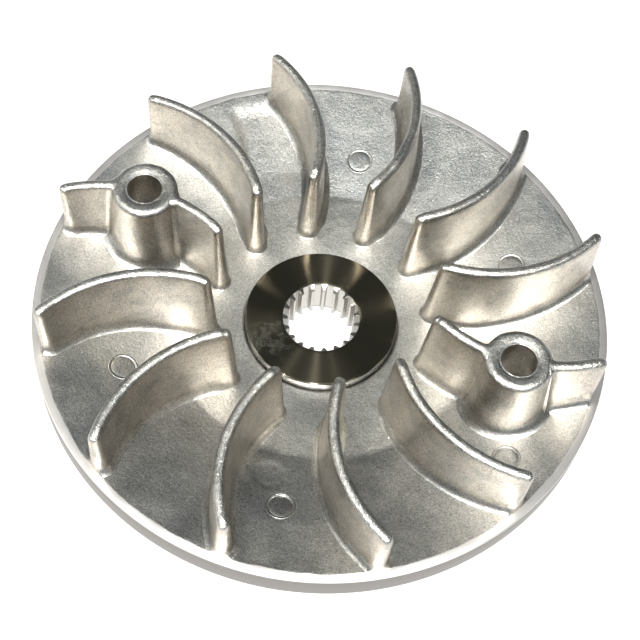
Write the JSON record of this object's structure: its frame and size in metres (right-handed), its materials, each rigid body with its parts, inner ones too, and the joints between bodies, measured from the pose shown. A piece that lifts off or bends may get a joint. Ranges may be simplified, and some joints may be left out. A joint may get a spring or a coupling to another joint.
{
  "type": "variator drive face",
  "caption": "Cast disc with curved fan vanes and bosses on one side, a conical belt face on the other and a splined steel hub cast into its middle.",
  "frame": {"origin": "centre of the flat rear seat, on the disc's axis", "axes": "+Z along the disc's axis towards the fan side; the two bosses lie on the X axis"},
  "size_m": [0.15, 0.15, 0.0374],
  "materials": {
    "cast_aluminium": "as die cast, sandy grey with faint flow stains, rim turned bright",
    "turned_steel": "finely turned, concentric marks"
  },
  "bodies": {
    "root": {"sheave_disc": "cast_aluminium", "fan_vane_01": "cast_aluminium", "fan_vane_02": "cast_aluminium", "fan_vane_03": "cast_aluminium", "fan_vane_04": "cast_aluminium", "fan_vane_05": "cast_aluminium", "fan_vane_06": "cast_aluminium", "fan_vane_07": "cast_aluminium", "fan_vane_08": "cast_aluminium", "fan_vane_09": "cast_aluminium", "fan_vane_10": "cast_aluminium", "boss_a": "cast_aluminium", "boss_b": "cast_aluminium", "boss_vane_outer_a": "cast_aluminium", "boss_vane_inner_a": "cast_aluminium", "boss_vane_outer_b": "cast_aluminium", "boss_vane_inner_b": "cast_aluminium", "splined_hub": "turned_steel"}
  },
  "joints": []
}
